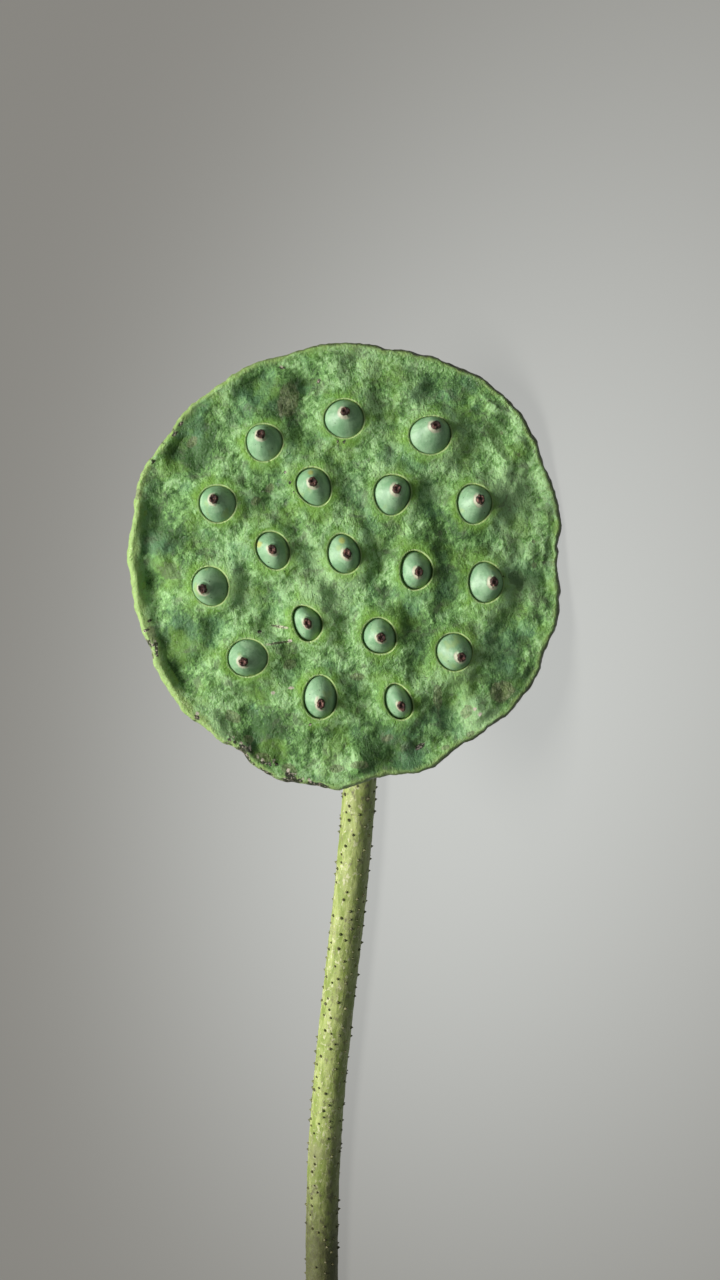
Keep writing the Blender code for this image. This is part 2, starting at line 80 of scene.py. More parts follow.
# Each seed's mouth in the face: u, v, width across u, height along v, anticlockwise turn in
# degrees, and the share and direction of its three-sided swelling. Then how far the seed sits back
# from a flush fit, and how far its apex leans along u and v.
SEEDS = (
    (-0.4, 35.1, 9.8, 9.5, -8, 0.015, -51, 0, 0.3, 0.1),
    (20.3, 31.2, 10.3, 9.3, 8, 0.014, 48, 0, 0.5, 0.9),
    (-19.6, 29.4, 9, 9.1, 7, 0.023, 16, 0, 0.1, 0.6),
    (-30.8, 14.7, 9.2, 9, -20, 0.016, 34, 0, 0.5, 0.4),
    (-7.7, 18.8, 8.3, 9.8, 32, 0.026, 55, 0.2, 0.2, 0.2),
    (11.1, 16.9, 9, 9.9, -10, 0.035, 25, 0.2, 0.7, 0.5),
    (30.8, 14.7, 8.6, 9.7, 2, 0.025, 17, 0.1, 0.2, 0.3),
    (-17.5, 3.5, 7.9, 9.7, 32, 0.016, 45, 0.2, 0.7, 0),
    (-0.5, 2.6, 8, 9.8, 16, 0.019, -18, 0.3, 0.9, -0.1),
    (16.8, -1.3, 8, 9.5, 2, 0.035, -3, 0.8, 0.1, -0.4),
    (33.5, -4.2, 8.5, 10, 4, 0.018, -3, 0.1, 0.7, 0.2),
    (-32.5, -5.1, 8.8, 9.7, 25, 0.01, 53, 0.1, -0.4, -0.5),
    (-9.3, -14, 7, 9, 25, 0.048, 12, 0.7, 0.5, 0.5),
    (8, -17.1, 8.2, 8.9, 30, 0.03, -35, 0.5, 0.2, 0.3),
    (-23.6, -22.3, 9.9, 9.1, 3, 0.007, -6, 0, 0.1, -0.1),
    (26, -20.9, 8.9, 9.3, 20, 0.01, 40, 0.2, 0.7, -0.4),
    (-6.2, -31.8, 8.3, 10.6, 0, 0.015, -25, 0.2, 0.5, -0.3),
    (12.6, -32.9, 6.6, 9.1, 24, 0.027, -14, 0.7, 0.3, 0.2),
)
SEED_FOCUS = Vector((0.0, 0.0, -150.0))
SEED_SHIFT = 0.014
SEED_SWELL = 1.32
SEED_CROWN = 9.2
SEED_ROOT = 7.0
CROWN_POWER = 1.75
TIP_POWER = 0.6  # 0.5 is a round tip, more is pointed
SEED_GAP = 0.2
LEAN_DEPTH = 4.0
MOUTH_ROUND = 0.4  # how deep the mouth's edge is rounded in the part
PACKED_SIDES = 12
SEED_SIDES = 48
SEED_LEVELS = [0.5 + 15.2 * (k / 30) ** 1.4 for k in range(31)]
# The dry stigma on the apex: height and radius, from its sunken middle outwards and down.
STUB_RINGS = ((0.5, 0.2), (0.62, 0.45), (0.8, 0.66), (0.72, 0.86), (0.4, 0.98), (0.12, 1.1), (-0.12, 1.4))
STUB_MIDDLE = 0.35
STUB_ROUGH = 0.2
RING_RISE = 0.13  # of the ring round the stub, and its radius and reach
RING_RADIUS = 1.85
RING_REACH = 0.35
SKIN_STEP = 40.0  # how far apart the seeds lie in the noise

# Relief of the face.
DOME_DROP = 2.2
COLLAR_RISE = 1.2
COLLAR_PLACE = 0.5
COLLAR_REACH = 2.8
CALM_REACH = 4.0  # the skin is smooth at a mouth, and fully rough this far from it
LUMP_RISE = 1.3
LUMP_SPACING = 8.0
LUMP_SLICE = 3.0  # the height at which the noise is read
DIMPLE_RISE = 0.6
DIMPLE_SPACING = 3.6
DIMPLE_SLICE = 17.0
TROUGH_WIDTH = 0.05
# The dip inside the lip is in two stretches: the direction of each in degrees, how far it reaches
# either way, its depth, and its share of the outline.
TROUGHS = ((200, 65, 1.2, 0.9), (0, 40, 0.8, 0.79))
TROUGH_LEAST = 0.25  # its depth between them
TROUGH_PLACE = 0.9
# Single bumps and hollows: u, v, reach, and rise, negative for a hollow.
BUMPS = (
    (-42.8, -14.8, 3, 0.9), (-40, -18.5, 3, -1), (-40.5, -27, 3.5, -0.9), (-33, -39, 3, 0.7),
    (-22.9, -40.7, 3, -1.1), (3, -46, 3.2, 1), (7.4, -40, 2.5, -1.2), (10.5, -45, 4.5, -1),
    (17, -44.5, 2.6, -0.8), (26, -35.5, 3, -0.8), (32, -34.5, 3.5, 0.8), (37, 37.5, 3, 0.9),
    (29.5, 25, 4.5, -0.8), (20.6, 43.5, 2.2, -0.8), (5.6, 47.5, 3, 0.7), (-10, 43.5, 3, -0.9),
    (-40.5, 27.5, 3.5, -0.9), (-45, 10, 3, -0.6),
)
FOLD_RISE = 0.9
FOLD_SPACING = 0.16
EDGE_START = 0.72  # the share of the outline where folds and the lip's wave begin
FOLD_FADE = 0.15
LIP_FADE = 0.2
LIP_WAVE = 1.0
LIP_WAVES = 2.6
GRAIN_RISE = 0.28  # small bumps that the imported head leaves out
GRAIN_SPACING = 1.9
GRAIN_CALM = 3.0
GRAIN_OCTAVES = (0.7, 2.1, 3)  # how the noise's finer parts fade, shrink and are counted

# The net of points on the face: its spacing, and the rings round each mouth and inside the edge.
GRID = 0.56
MOUTH_OFFSETS = (0.3, 0.7, 1.2)
EDGE_INSETS = (3.6, 4.1)
MOUTH_STEPS = ((0.2, 0.0), (0.04, 0.05), (-0.08, 0.2), (-0.12, 0.45))

# The lip: distance in from the outline, and rise above the edge. The back: depth, and share of the
# outline.
LIP_STEPS = ((1.9, 0.1), (0.9, 0.25), (0.25, -0.35), (0.0, -1.3), (0.35, -2.4), (1.2, -3.3))
BACK_STEPS = (
    (5.0, 0.955), (9.0, 0.895), (14.5, 0.805), (20.5, 0.685), (26.5, 0.545),
    (32.0, 0.400), (36.5, 0.275), (40.0, 0.190), (42.5, 0.155),
)
BASE_DEPTH = 42.5
BASE_OFFSET = 5.6
BASE_POWER = 1.5
BACK_RIBS = 22
RIB_RISE = 0.32
RIB_WANDER = 2.0
RIB_WANDERS = 1.7
RIM_BUMPS = (0.25, 3.1, 0.8)  # rise, spacing, and how far in they are shifted
BITES = (0.3, 0.9, 0.25)  # the same in a harmed lip: rise, spacing, depth
EDGE_LEVEL = -2.5
EDGE_REACH = 4.0
LIP_DEPTH = 1.2  # from the lip's level down to its outermost place
SPOKES = 480

# Marks on the face and its edge: u, v, half the length, and where they aren't round half the width
# and the turn in degrees.
BLACK = (
    (-20.7, -16, 0.5), (-6.5, 44.4, 0.8, 0.4, 60), (-1.8, 29.6, 0.4), (-0.5, 29.5, 0.4),
    (-14.6, 22.2, 0.4), (-13.4, 19.8, 0.4), (-12.4, 17.2, 0.4), (-15.6, 47.6, 1.3, 0.4, 0),
    (17.8, -43.7, 1.4, 0.7, 30), (-8.4, -38.3, 0.5), (-45.9, -19, 0.8, 0.6, 0),
    (-45.6, -20.6, 1.7, 0.4, 100), (-48.1, -15.6, 0.8, 0.4, 20), (-47.3, -13.2, 0.8, 0.4, 20),
    (-35.8, -36.6, 0.8, 0.5, -40), (-28, -42, 0.5, 0.4, 0), (-26.6, -42.5, 0.5, 0.4, 0),
    (-23.9, -44.3, 2.3, 0.6, -30), (-18.4, -47.8, 2.9, 0.5, -7), (-13.3, -50.9, 1.7, 0.9, -45),
    (-11.2, -51.8, 0.6, 0.5, 0), (-8.6, -52.4, 0.6, 0.5, 0), (-6.2, -53, 2.2, 0.6, -12),
    (-39.8, 34.1, 1, 0.4, 40), (-41.2, 31.7, 1, 0.4, 40), (-46.4, 25, 0.8, 0.4, 60),
)
BROWN = (
    (-13.4, -23.8, 1.7, 1.2, 20), (2.7, -26.9, 1.7, 1, 0), (-13.9, 39.8, 4.6, 2.6, 80),
    (-18.4, 18.5, 1.4, 1, 40), (-21.6, 15.4, 1.4, 1, 40), (-37, 29.8, 1.7, 1.1, 50),
    (22.1, -31.9, 3.1, 1.2, 90), (37.5, -30.5, 2.9, 2.6, 0), (29.1, -35.3, 1.9, 1.4, 60),
    (30, -40.6, 1.2, 0.6, 30), (24, -43.9, 1.2, 0.6, 20), (10, -41.5, 1.4, 0.8, 20),
    (3.2, -48.1, 2.2, 1, 0), (-2.1, -49, 1.9, 1, 0), (-46.9, -16.6, 2.2, 1, 100),
    (-50, 17.2, 1.4, 1, 80), (-23.6, -42, 1.4, 1, -30), (-27.3, -36.5, 2.2, 1.4, -30),
    (41.6, 26.6, 0.6), (45.4, 0, 0.7), (47.8, 0.7, 0.5), (37.5, 31.9, 0.5), (45.2, 5.8, 0.5),
    (-13.6, -49.4, 2.2, 1.4, -30), (-20.1, -46.3, 2.4, 1.2, -10),
)
OLIVE = (
    (33.4, 3.8, 1.9, 1.7, 0), (40.8, -3.1, 1.9, 1.7, 0), (42.8, -18.2, 1.7, 1.4, 0),
    (33.2, -27.4, 1.7, 1.4, 0), (-8.6, 44.2, 2.6, 1, 5), (19.6, 43.4, 0.7, 0.6, 0),
    (36.3, 30, 5.8, 1.2, 120), (41.6, 4.8, 3.4, 1.2, 100), (41.8, -3.6, 2.9, 1.2, 90),
    (17.8, -42.5, 2.4, 1.4, 30),
)
PALE = (
    (-13.4, -18.2, 0.6, 0.4, 0), (-13.2, -29.5, 0.8, 0.4, 10), (-17.5, -30.7, 0.6, 0.4, 0),
    (-15.6, 48.2, 0.4, 0.3, 0), (-17.5, -47, 0.5, 0.4, 0), (-13.9, -49.4, 0.6, 0.4, 30),
    (-12.4, -50.2, 0.4), (-8.8, -51.7, 0.4), (-27.3, -41.5, 0.4), (-25.2, -42.8, 0.5, 0.4, 0),
    (-23, -43.9, 0.4), (-20.1, -46.9, 0.5, 0.4, 0), (31, -34.6, 0.5, 0.4, 20),
    (32.3, -35.8, 0.6, 0.4, 40), (-35.8, -35.7, 0.6, 0.4, -40), (-46, -18.1, 0.5, 0.4, 0),
    (-10.5, -51.4, 0.4), (-21.3, -46.1, 0.4),
)
# Lighter and darker patches laid into the skin's tone, the light ones along the left edge painted light
# that lifts the shade inside the lip: u, v, reach, and lift, negative where darker.
PATCHES = (
    (-31, -39, 6, 0.4), (39, 17, 7, 0.35), (-50, -9, 5, 0.4), (-5, -8, 7, 0.35), (38, -6, 5, 0.35),
    (-28, -4, 5, 0.3), (25, 31, 7, 0.25), (28, -24, 6, 0.3), (6, 49, 5, 0.2), (3, 2, 5, 0.15),
    (-29, 40, 5, 0.2), (4, 36, 5, 0.15), (-44.5, -25.5, 4, 0.3), (10, -48, 7, -0.6),
    (-36, 32, 7, -0.45), (-20, -41, 6, -0.4), (-40, -18, 5, -0.4), (40, -29, 6, -0.35),
    (-19, 39, 7, -0.3), (-44, 6, 6, -0.3), (22, -1, 7, -0.25), (18, -18, 5, -0.2),
    (28, 41, 6, -0.2), (28, 10, 5, -0.2), (-48, -16, 4, 0.3), (-50, 11, 4, 0.35), (-50, 1, 4, 0.3),
    (-27, 33, 5, 0.2), (20, 38, 4, 0.15), (31.5, -37.5, 5, 0.3), (1, -48, 4, 0.25),
)
# Yellow spots on the seeds: u, v and reach.
YELLOWS = ((-8.4, 22.1, 1.0), (-20.8, 4.9, 1.1), (-0.9, 5.8, 1.2))
# Crusts along the rim: degrees, reach in degrees, and depth.
CRUSTS = (
    (201.5, 1.2, 0.8), (204.5, 1.6, 0.6), (225.6, 1, 0.6), (236.5, 2, 0.55), (242, 3.5, 0.75),
    (249, 3.5, 0.7), (255.5, 3, 0.85), (262.5, 3.5, 0.8), (146, 0.8, 0.6), (142, 0.8, 0.6),
    (151.5, 0.6, 0.6), (155.5, 0.6, 0.5), (134, 1, 0.4),
)
CRUST_SPREAD = 1.4
CRUST_WIDTH = 1.7
SCRATCHES = ((-16.0, -14.8, 2.2, 0.4, -10), (-16.1, -18.7, 3.3, 0.36, 8))
# The direction, in the pod's frame, where the lip's edge is painted dark: painted shade on the side away
# from the key light.
SHADE_SIDE = radians(15.0)
MARKS_DEPTH = -8.0  # no marks below this level of the back

# The stem.
STEM_RADIUS = 4.45
STEM_FOOT_RADIUS = 4.8
STEM_LENGTH = 255.0
STEM_END = 252.8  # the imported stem's last ring
STEM_SIDES = 40
STEM_STEP = 0.4
JOINT_GAP = 0.3
COLLAR_STEPS = ((0.0, 7.7), (1.3, 8.3), (2.8, 8.0), (4.3, 6.8), (6.5, 5.7), (10.0, 4.9), (15.0, 4.45))
NECK = 7.0
HEADING = radians(13.4)
STEM_BOW = -1.2
STEM_SWAY = 3.0
ARCH_RISE = 1.6
SAG = 0.25
STEM_BUMPS = ((0.13, 2.4, 2.2), (0.05, 5.0, 9.0))  # rise, waves round the stem, spacing along it
STEM_WOBBLE = 0.08
WOBBLE_SPACING = 20.0
PRICKLES = 460
PRICKLE_SIZES = (0.75, 1.15)
PRICKLE_GAP = 1.9
PRICKLE_LEAN = 0.35
PRICKLE_SIDES = 8
CLEAR_HEAD = 30  # frames without prickles under the head, and at the foot
CLEAR_FOOT = 6
PRICKLE_RINGS = ((-0.2, 0.56), (0.06, 0.46), (0.3, 0.27), (0.5, 0.12))  # height and radius
PRICKLE_RISE = 0.66
CANALS = 6
CANAL_RING = 2.4
CANAL_RADIUS = 0.9
CANAL_DEPTH = 5.0
CANAL_SIDES = 16
CUT_RING = 0.8184  # a ring of points on the cut, as a share of its radius

# The stage: the painted pool of light on the glowing paper, in metres, and what the camera sees of the
# pod's frame.
POOL_PLACE = (0.049, -0.028, 0.0)
POOL_TURN = (0.0, 0.0, -0.994)
POOL_SIZE = (0.191, 0.129, 1.0)
VIEW_MIDDLE = (3.4, -18.0)
VIEW_DISTANCE = 500.0
VIEW_HEIGHT = 307.2
SENSOR_HEIGHT = 36.0
ROOM_TINT = (0.88, 0.97, 0.88, 1.0)
ROOM_LIGHT = 0.108


def pod_axes():
    """World X, Y and Z as directions in the pod's frame."""
    level = cos(FACE_ELEVATION)
    up = Vector((-level * cos(FACE_ROLL), -level * sin(FACE_ROLL), sin(FACE_ELEVATION)))
    along = Vector((0.0, 1.0, 0.0)) - up.y * up
    along.normalize()
    return along, up.cross(along), up


POD_TO_WORLD = Matrix(pod_axes())


def laid(point):
    """A pod point as it lies in the world, still in millimetres."""
    return POD_TO_WORLD @ Vector(point) + FACE_CENTRE


def turns(count):
    """Angles evenly round a circle."""
    return [2 * pi * i / count for i in range(count)]


def smooth(share):
    """0 up to 0, 1 from 1, and a smooth step between."""
    share = min(1.0, max(0.0, share))
    return share * share * (3.0 - 2.0 * share)


def hill(distance, reach):
    """A rounded hill of height 1."""
    return exp(-((distance / reach) ** 2))


def polar(radius, angle, height=0.0):
    """A point at a radius and an angle from the middle, and at a height."""
    return Vector((radius * cos(angle), radius * sin(angle), height))


def turned(across, along, turn):
    """An offset turned anticlockwise by some degrees, as a complex number."""
    return complex(across, along) * cmath.rect(1.0, radians(turn))


def rim_radius(angle):
    """The outline's radius: each lobe or notch runs to the next as half a cosine wave."""
    bearing = degrees(angle) % 360.0
    for (start, before), (end, after) in zip(RIM_POINTS, RIM_POINTS[1:]):
        if bearing <= end:
            break
    share = (1 - cos(pi * (bearing - start) / (end - start))) / 2
    return before + (after - before) * share


def rim_inset(u, v):
    """How far a point is inside the outline."""
    return rim_radius(atan2(v, u)) - hypot(u, v)


def mouth_distance(u, v):
    """How far a point of the face is from the nearest mouth's edge, negative inside it."""
    nearest = MEAN_RIM
    for seed_u, seed_v, width, height, turn, *_ in SEEDS:
        off = turned(u - seed_u, v - seed_v, -turn)
        out = hypot(off.real / (width / 2), off.imag / (height / 2))
        nearest = min(nearest, (out - 1) * (width + height) / 4)
    return nearest


def lip_wave(angle):
    """The edge's slow rise and fall round the face."""
    return LIP_WAVE * noise.noise(polar(1.0, angle, 0.4) * LIP_WAVES)


def trough(angle, share):
    """The dip inside the lip, deeper in two stretches of it."""
    depth = TROUGH_LEAST * hill(share - TROUGH_PLACE, TROUGH_WIDTH)
    for middle, reach, deepest, place in TROUGHS:
        off = (degrees(angle) - middle + 180) % 360 - 180
        depth += deepest * hill(off, reach) * hill(share - place, TROUGH_WIDTH)
    return depth


def hills(u, v, rows):
    """The height at a point of some hills, given as u, v, reach and rise."""
    return sum(rise * hill(hypot(u - at_u, v - at_v), reach) for at_u, at_v, reach, rise in rows)


def face_relief(u, v):
    """The face's height, its distance from a mouth and how far it stands proud of its dome."""
    angle = atan2(v, u)
    share = hypot(u, v) / rim_radius(angle)
    away = max(0.0, mouth_distance(u, v))
    lumps = noise.noise(Vector((u, v, LUMP_SLICE)) / LUMP_SPACING) * LUMP_RISE
    dimples = noise.noise(Vector((u, v, DIMPLE_SLICE)) / DIMPLE_SPACING) * DIMPLE_RISE
    folds = noise.noise(polar(1.0, angle, share) / FOLD_SPACING) * FOLD_RISE
    folds *= smooth((share - EDGE_START) / FOLD_FADE)
    collar = COLLAR_RISE * hill(away - COLLAR_PLACE, COLLAR_REACH)
    edge = lip_wave(angle) * smooth((share - EDGE_START) / LIP_FADE)
    rough = lumps + dimples + folds + hills(u, v, BUMPS)
    proud = smooth(away / CALM_REACH) * rough - trough(angle, share)
    return collar + edge - DOME_DROP * share**2 + proud, away, proud


def grain(u, v, w):
    """Small soft bumps of the skin."""
    return GRAIN_RISE * noise.fractal(Vector((u, v, w)) / GRAIN_SPACING, *GRAIN_OCTAVES)


def face_height(u, v):
    """The face's height where its mouths are measured."""
    return face_relief(u, v)[0]


def lip_point(angle, inset, rise):
    """A point of the rounded lip, by its distance in from the outline and up from the edge."""
    return polar(rim_radius(angle) - inset, angle, rise - DOME_DROP + lip_wave(angle))


def back_point(angle, depth, share):
    """A point of the funnel-shaped back, ribbed, and rounder and further to +u with depth."""
    deep = depth / BASE_DEPTH
    wander = RIB_WANDER * noise.noise(polar(1.0, angle, deep) * RIB_WANDERS)
    ribs = RIB_RISE * sin(BACK_RIBS * angle + wander) * smooth(3 * (1 - deep)) * smooth(4 * deep)
    radius = (rim_radius(angle) * (1 - deep) + MEAN_RIM * deep) * share + ribs
    centre = Vector((BASE_OFFSET * deep**BASE_POWER, 0.0, 0.0))
    return centre + polar(radius, angle, lip_wave(angle) * (1 - deep) - depth)


def curve_point(before, start, end, after, share):
    """A point of the smooth curve from start to end that keeps its neighbours' direction."""
    square, cube = share**2, share**3
    bend = (2 * start - 2 * end + (end - before) / 2 + (after - start) / 2) * cube
    bend += (3 * end - 3 * start - (end - before) - (after - start) / 2) * square
    return start + (end - before) / 2 * share + bend


def marked(u, v, rows):
    """How deep a point lies in the nearest of some marks: 0.5 at its edge and 1.5 in its middle."""
    deepest = 0.0
    for mark_u, mark_v, length, *rest in rows:
        width, turn = rest or (length, 0)
        if abs(u - mark_u) + abs(v - mark_v) < 3 * length + 3 * width:
            off = turned(u - mark_u, v - mark_v, -turn)
            deepest = max(deepest, 1.5 - hypot(off.real / length, off.imag / width))
    return deepest


def crusted(angle, inset):
    """How deep a point near the rim lies in a crust, as for a mark."""
    bearing = degrees(angle) % 360.0
    deepest = max(depth * hill(bearing - middle, CRUST_SPREAD * reach) for middle, reach, depth in CRUSTS)
    return deepest * smooth(CRUST_WIDTH - inset)


class SeedSite:
    """Where one seed sits: its mouth's middle on the face, its axes and its size."""

    def __init__(self, row):
        u, v, width, height, self.turn, self.egg, way, sink, *lean = row
        self.way = radians(way - self.turn)
        self.size = (width / 2, height / 2)
        self.middle = Vector((u, v, 0.0))
        places = [self.on_face(0.0, angle) for angle in turns(PACKED_SIDES)]
        edge = [Vector((*place, face_height(*place) - MOUTH_ROUND)) for place in places]
        self.middle.z = sum(spot.z for spot in edge) / PACKED_SIDES
        self.seat = self.middle + SEED_SHIFT * Vector((u, v, 0.0))
        self.axis = (self.seat - SEED_FOCUS).normalized()
        side = polar(1.0, radians(self.turn))
        self.across = (side - side.dot(self.axis) * self.axis).normalized()
        self.along = self.axis.cross(self.across)
        self.lean = Vector((*lean, 0.0))
        self.mouth = (width + height) / 4
        self.widest = self.mouth * SEED_SWELL
        self.crown = min(self.clear_crown(spot - self.seat) for spot in edge) - sink

    def swell(self, angle):
        """How much wider the mouth and its seed are than an ellipse at an angle."""
        return 1 + self.egg * cos(3 * (angle - self.way))

    def on_face(self, offset, angle):
        """The face's u and v at an angle round the mouth, an offset out from its edge."""
        swell = self.swell(angle)
        across = (self.size[0] * swell + offset) * cos(angle)
        along = (self.size[1] * swell + offset) * sin(angle)
        off = turned(across, along, self.turn)
        return self.middle.x + off.real, self.middle.y + off.imag

    def clear_crown(self, spot):
        """How high above the seat the apex can be when the seed clears a spot of its mouth's edge."""
        height = spot.dot(self.axis)
        across = spot.dot(self.across) / self.size[0] * self.mouth
        along = spot.dot(self.along) / self.size[1] * self.mouth
        out = hypot(across, along) / self.swell(atan2(along, across))
        fill = ((out - SEED_GAP) / self.widest) ** (1 / TIP_POWER)
        return height + SEED_CROWN * (1 - (1 - fill) ** (1 / CROWN_POWER))

    def radius(self, level):
        """The seed's mean radius at a distance down from its apex."""
        if level < SEED_CROWN:
            return self.widest * (1 - (1 - level / SEED_CROWN) ** CROWN_POWER) ** TIP_POWER
        return self.widest * sqrt(max(0.0, 1 - ((level - SEED_CROWN) / SEED_ROOT) ** 2))

    def point(self, level, radius=0.0, angle=0.0):
        """A pod point at a distance down from the apex and out from the axis."""
        radius *= 1 + (self.swell(angle) - 1) * smooth(level / 2.0)
        across = self.across * (radius * self.size[0] / self.mouth)
        along = self.along * (radius * self.size[1] / self.mouth)
        centre = self.seat + self.axis * (self.crown - level) + self.lean * smooth(1 - level / LEAN_DEPTH)
        return centre + across * cos(angle) + along * sin(angle)

    def wall_rings(self):
        """Rings from the rounded edge of the mouth down the wall of the chamber."""
        rings = []
        for offset, depth in MOUTH_STEPS:
            places = [self.on_face(offset, angle) for angle in turns(SEED_SIDES)]
            rings.append([Vector((*place, face_height(*place) - depth)) for place in places])
        start = self.crown + 1.0 + self.mouth * hypot(self.axis.x, self.axis.y)
        for level in [start] + [level for level in SEED_LEVELS[::2] if level > start + 0.7]:
            radius = self.radius(level) + SEED_GAP
            if level < SEED_CROWN:
                radius = max(radius, self.mouth)
            rings.append([self.point(level, radius, angle) for angle in turns(SEED_SIDES)])
        return rings


def add_object(name, data):
    """Adds an object to the scene."""
    added = bpy.data.objects.new(name, data)
    bpy.context.scene.collection.objects.link(added)
    return added


def add_mesh(name, mesh, paint):
    """Adds an object with a finished mesh and its material."""
    data = bpy.data.meshes.new(name)
    mesh.to_mesh(data)
    mesh.free()
    data.materials.append(paint)
    return add_object(name, data)


class Surface:
    """A mesh in the making, whose vertices keep a few values and their place on the bare skin."""

    def __init__(self, *names):
        self.mesh = bmesh.new()
        self.skin = self.mesh.verts.layers.float_vector.new("skin")
        self.layers = [self.mesh.verts.layers.float.new(name) for name in names]

    def vert(self, place, skin, *values):
        """Adds a vertex in world millimetres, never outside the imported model's box."""
        spot = [min(max(side * MM, least), most) for side, least, most in zip(place, *CAD_BOX)]
        vert = self.mesh.verts.new(spot)
        vert[self.skin] = skin
        for layer, value in zip(self.layers, values):
            vert[layer] = value
        return vert

    def join(self, row, following):
        """Adds faces from a ring of vertices, if there is one, to the next, and gives that."""
        for i in range(len(row)):
            self.mesh.faces.new((row[i - 1], row[i], following[i], following[i - 1]))
        return following

    def close(self, row, tip):
        """Adds a fan of triangles from a ring of vertices to its tip."""
        for i in range(len(row)):
            self.mesh.faces.new((row[i - 1], row[i], tip))

    def piece(self, name, paint, slot, nodes):
        """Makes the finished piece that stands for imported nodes."""
        bmesh.ops.recalc_face_normals(self.mesh, faces=self.mesh.faces)
        piece = add_mesh(name, self.mesh, paint)
        piece.data.shade_smooth()
        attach(piece, "root")
        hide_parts(*nodes)
        return piece


def net_triangles(points, loops, outline):
    """Triangles over a net of points, none across an inner loop or outside the first."""
    edges = [(loop[i - 1], loop[i]) for loop in loops for i in range(len(loop))]
    flat = [Vector(point[:2]) for point in points]
    placed, _, triangles, sources, _, _ = geometry.delaunay_2d_cdt(flat, edges, [], 0, 1e-5)
    owner = {index: number for number, loop in enumerate(loops) for index in loop}
    kept = []
    for triangle in triangles:
        corners = [sources[index][0] for index in triangle]
        owners = {owner.get(index) for index in corners}
        middle = sum((placed[index] for index in triangle), Vector((0.0, 0.0))) / 3
        inner = len(owners) == 1 and owners.isdisjoint({None, 0})
        if not inner and (owners != {0} or middle.length < outline(atan2(middle.y, middle.x))):
            kept.append(corners)
    return kept


def face_net(sites):
    """Points of the face, and the closed loops among them: the face's edge and then each mouth."""
    points = []
    for inset in EDGE_INSETS:
        points += [polar(rim_radius(angle) - inset, angle).to_2d() for angle in turns(SPOKES)]
    loops = [range(SPOKES)]
    for site in sites:
        loops.append(range(len(points), len(points) + SEED_SIDES))
        points += [site.on_face(offset, angle) for offset in MOUTH_OFFSETS for angle in turns(SEED_SIDES)]
    rows = int(MEAN_RIM / GRID) + 6
    for row in range(-rows, rows + 1):
        for column in range(-rows, rows + 1):
            u, v = GRID * (column + 0.5 * (row % 2)), GRID * 0.866 * row
            inside = rim_inset(u, v) - EDGE_INSETS[-1]
            if inside > GRID / 2 and mouth_distance(u, v) > MOUTH_OFFSETS[-1] + GRID / 2:
                points.append((u, v))
    return points, loops


class Head(Surface):
    """The fleshy head: its face, lip, back and the chambers of its seeds."""

    def __init__(self):
        super().__init__("mouth", "rim", "proud", "black", "brown", "olive", "pale", "rim_shade", "lift")

    def skin_vert(self, point, mouth, rim, proud):
        """Adds a vertex of the skin at a pod point."""
        u, v, w = point
        # Painted shade: how far round the rim this point lies on the side away from the key light.
        rim_shade = smooth(0.5 + 0.9 * cos(atan2(v, u) - SHADE_SIDE))
        near = smooth((w - MARKS_DEPTH) / 2.0)
        marks = [near and near * marked(u, v, rows) for rows in (BLACK, BROWN, OLIVE, PALE)]
        marks[0] = max(marks[0], near * crusted(atan2(v, u), rim_inset(u, v)))
        lift = near * hills(u, v, PATCHES)
        return self.vert(laid(point), point, mouth, rim, proud, *marks, rim_shade, lift)

    def face_vert(self, u, v):
        """Adds a vertex of the face."""
        height, away, proud = face_relief(u, v)
        bump = grain(u, v, 0.0) * smooth(away / GRAIN_CALM)
        return self.skin_vert(Vector((u, v, height + bump)), away, rim_inset(u, v), proud + bump)

    def add_chamber(self, row, site):
        """Adds the chamber behind one mouth."""
        for depth, ring in enumerate(site.wall_rings()):
            row = self.join(row, [self.skin_vert(point, -0.1 - 0.3 * depth, 20.0, 0.0) for point in ring])
        floor = site.seat + site.axis * (site.crown - SEED_CROWN - SEED_ROOT - SEED_GAP)
        self.close(row, self.skin_vert(floor, -4.0, 20.0, 0.0))

    def add_back(self, row):
        """Adds the lip and the back, on smooth curves through the part's own rings."""
        spokes = [self.spoke(angle) for angle in turns(SPOKES)]
        for index in range(1, len(spokes[0]) - 2):
            steps = 3 if index < 8 else 5
            for step in range(1, steps + 1):
                ring = [curve_point(*spoke[index - 1 : index + 3], step / steps) for spoke in spokes]
                row = self.join(row, [self.back_vert(point) for point in ring])
        self.close(row, self.skin_vert(Vector((BASE_OFFSET, 0.0, -BASE_DEPTH)), 8.0, -BASE_DEPTH, 0.0))

    def spoke(self, angle):
        """The part's own points along one spoke, from inside the lip to beyond the base."""
        points = []
        for inset in reversed(EDGE_INSETS):
            u, v, _ = polar(rim_radius(angle) - inset, angle)
            points.append(Vector((u, v, face_height(u, v) + grain(u, v, 0.0))))
        points += [lip_point(angle, *step) for step in LIP_STEPS]
        points += [back_point(angle, *step) for step in BACK_STEPS]
        return points + [2 * points[-1] - points[-2]]

    def back_vert(self, point):
        """Adds a vertex of the lip or back, a little rough, and more where the lip is harmed."""
        u, v, w = point
        outward = Vector((u, v, 0.0)).normalized()
        edge = hill(w - EDGE_LEVEL, EDGE_REACH)
        rise, spacing, shift = RIM_BUMPS
        bumps = grain(u, v, w) + rise * edge * (noise.noise(point / spacing) - shift)
        rise, spacing, depth = BITES
        bite = edge * min(1.0, marked(u, v, BLACK)) * (rise * noise.noise(point / spacing) - depth)
        outermost = lip_wave(atan2(v, u)) - DOME_DROP - LIP_DEPTH
        past = rim_inset(u, v) if w > outermost else w + DOME_DROP
        return self.skin_vert(point + outward * (bumps + bite), 8.0, past, 0.3 + bumps)


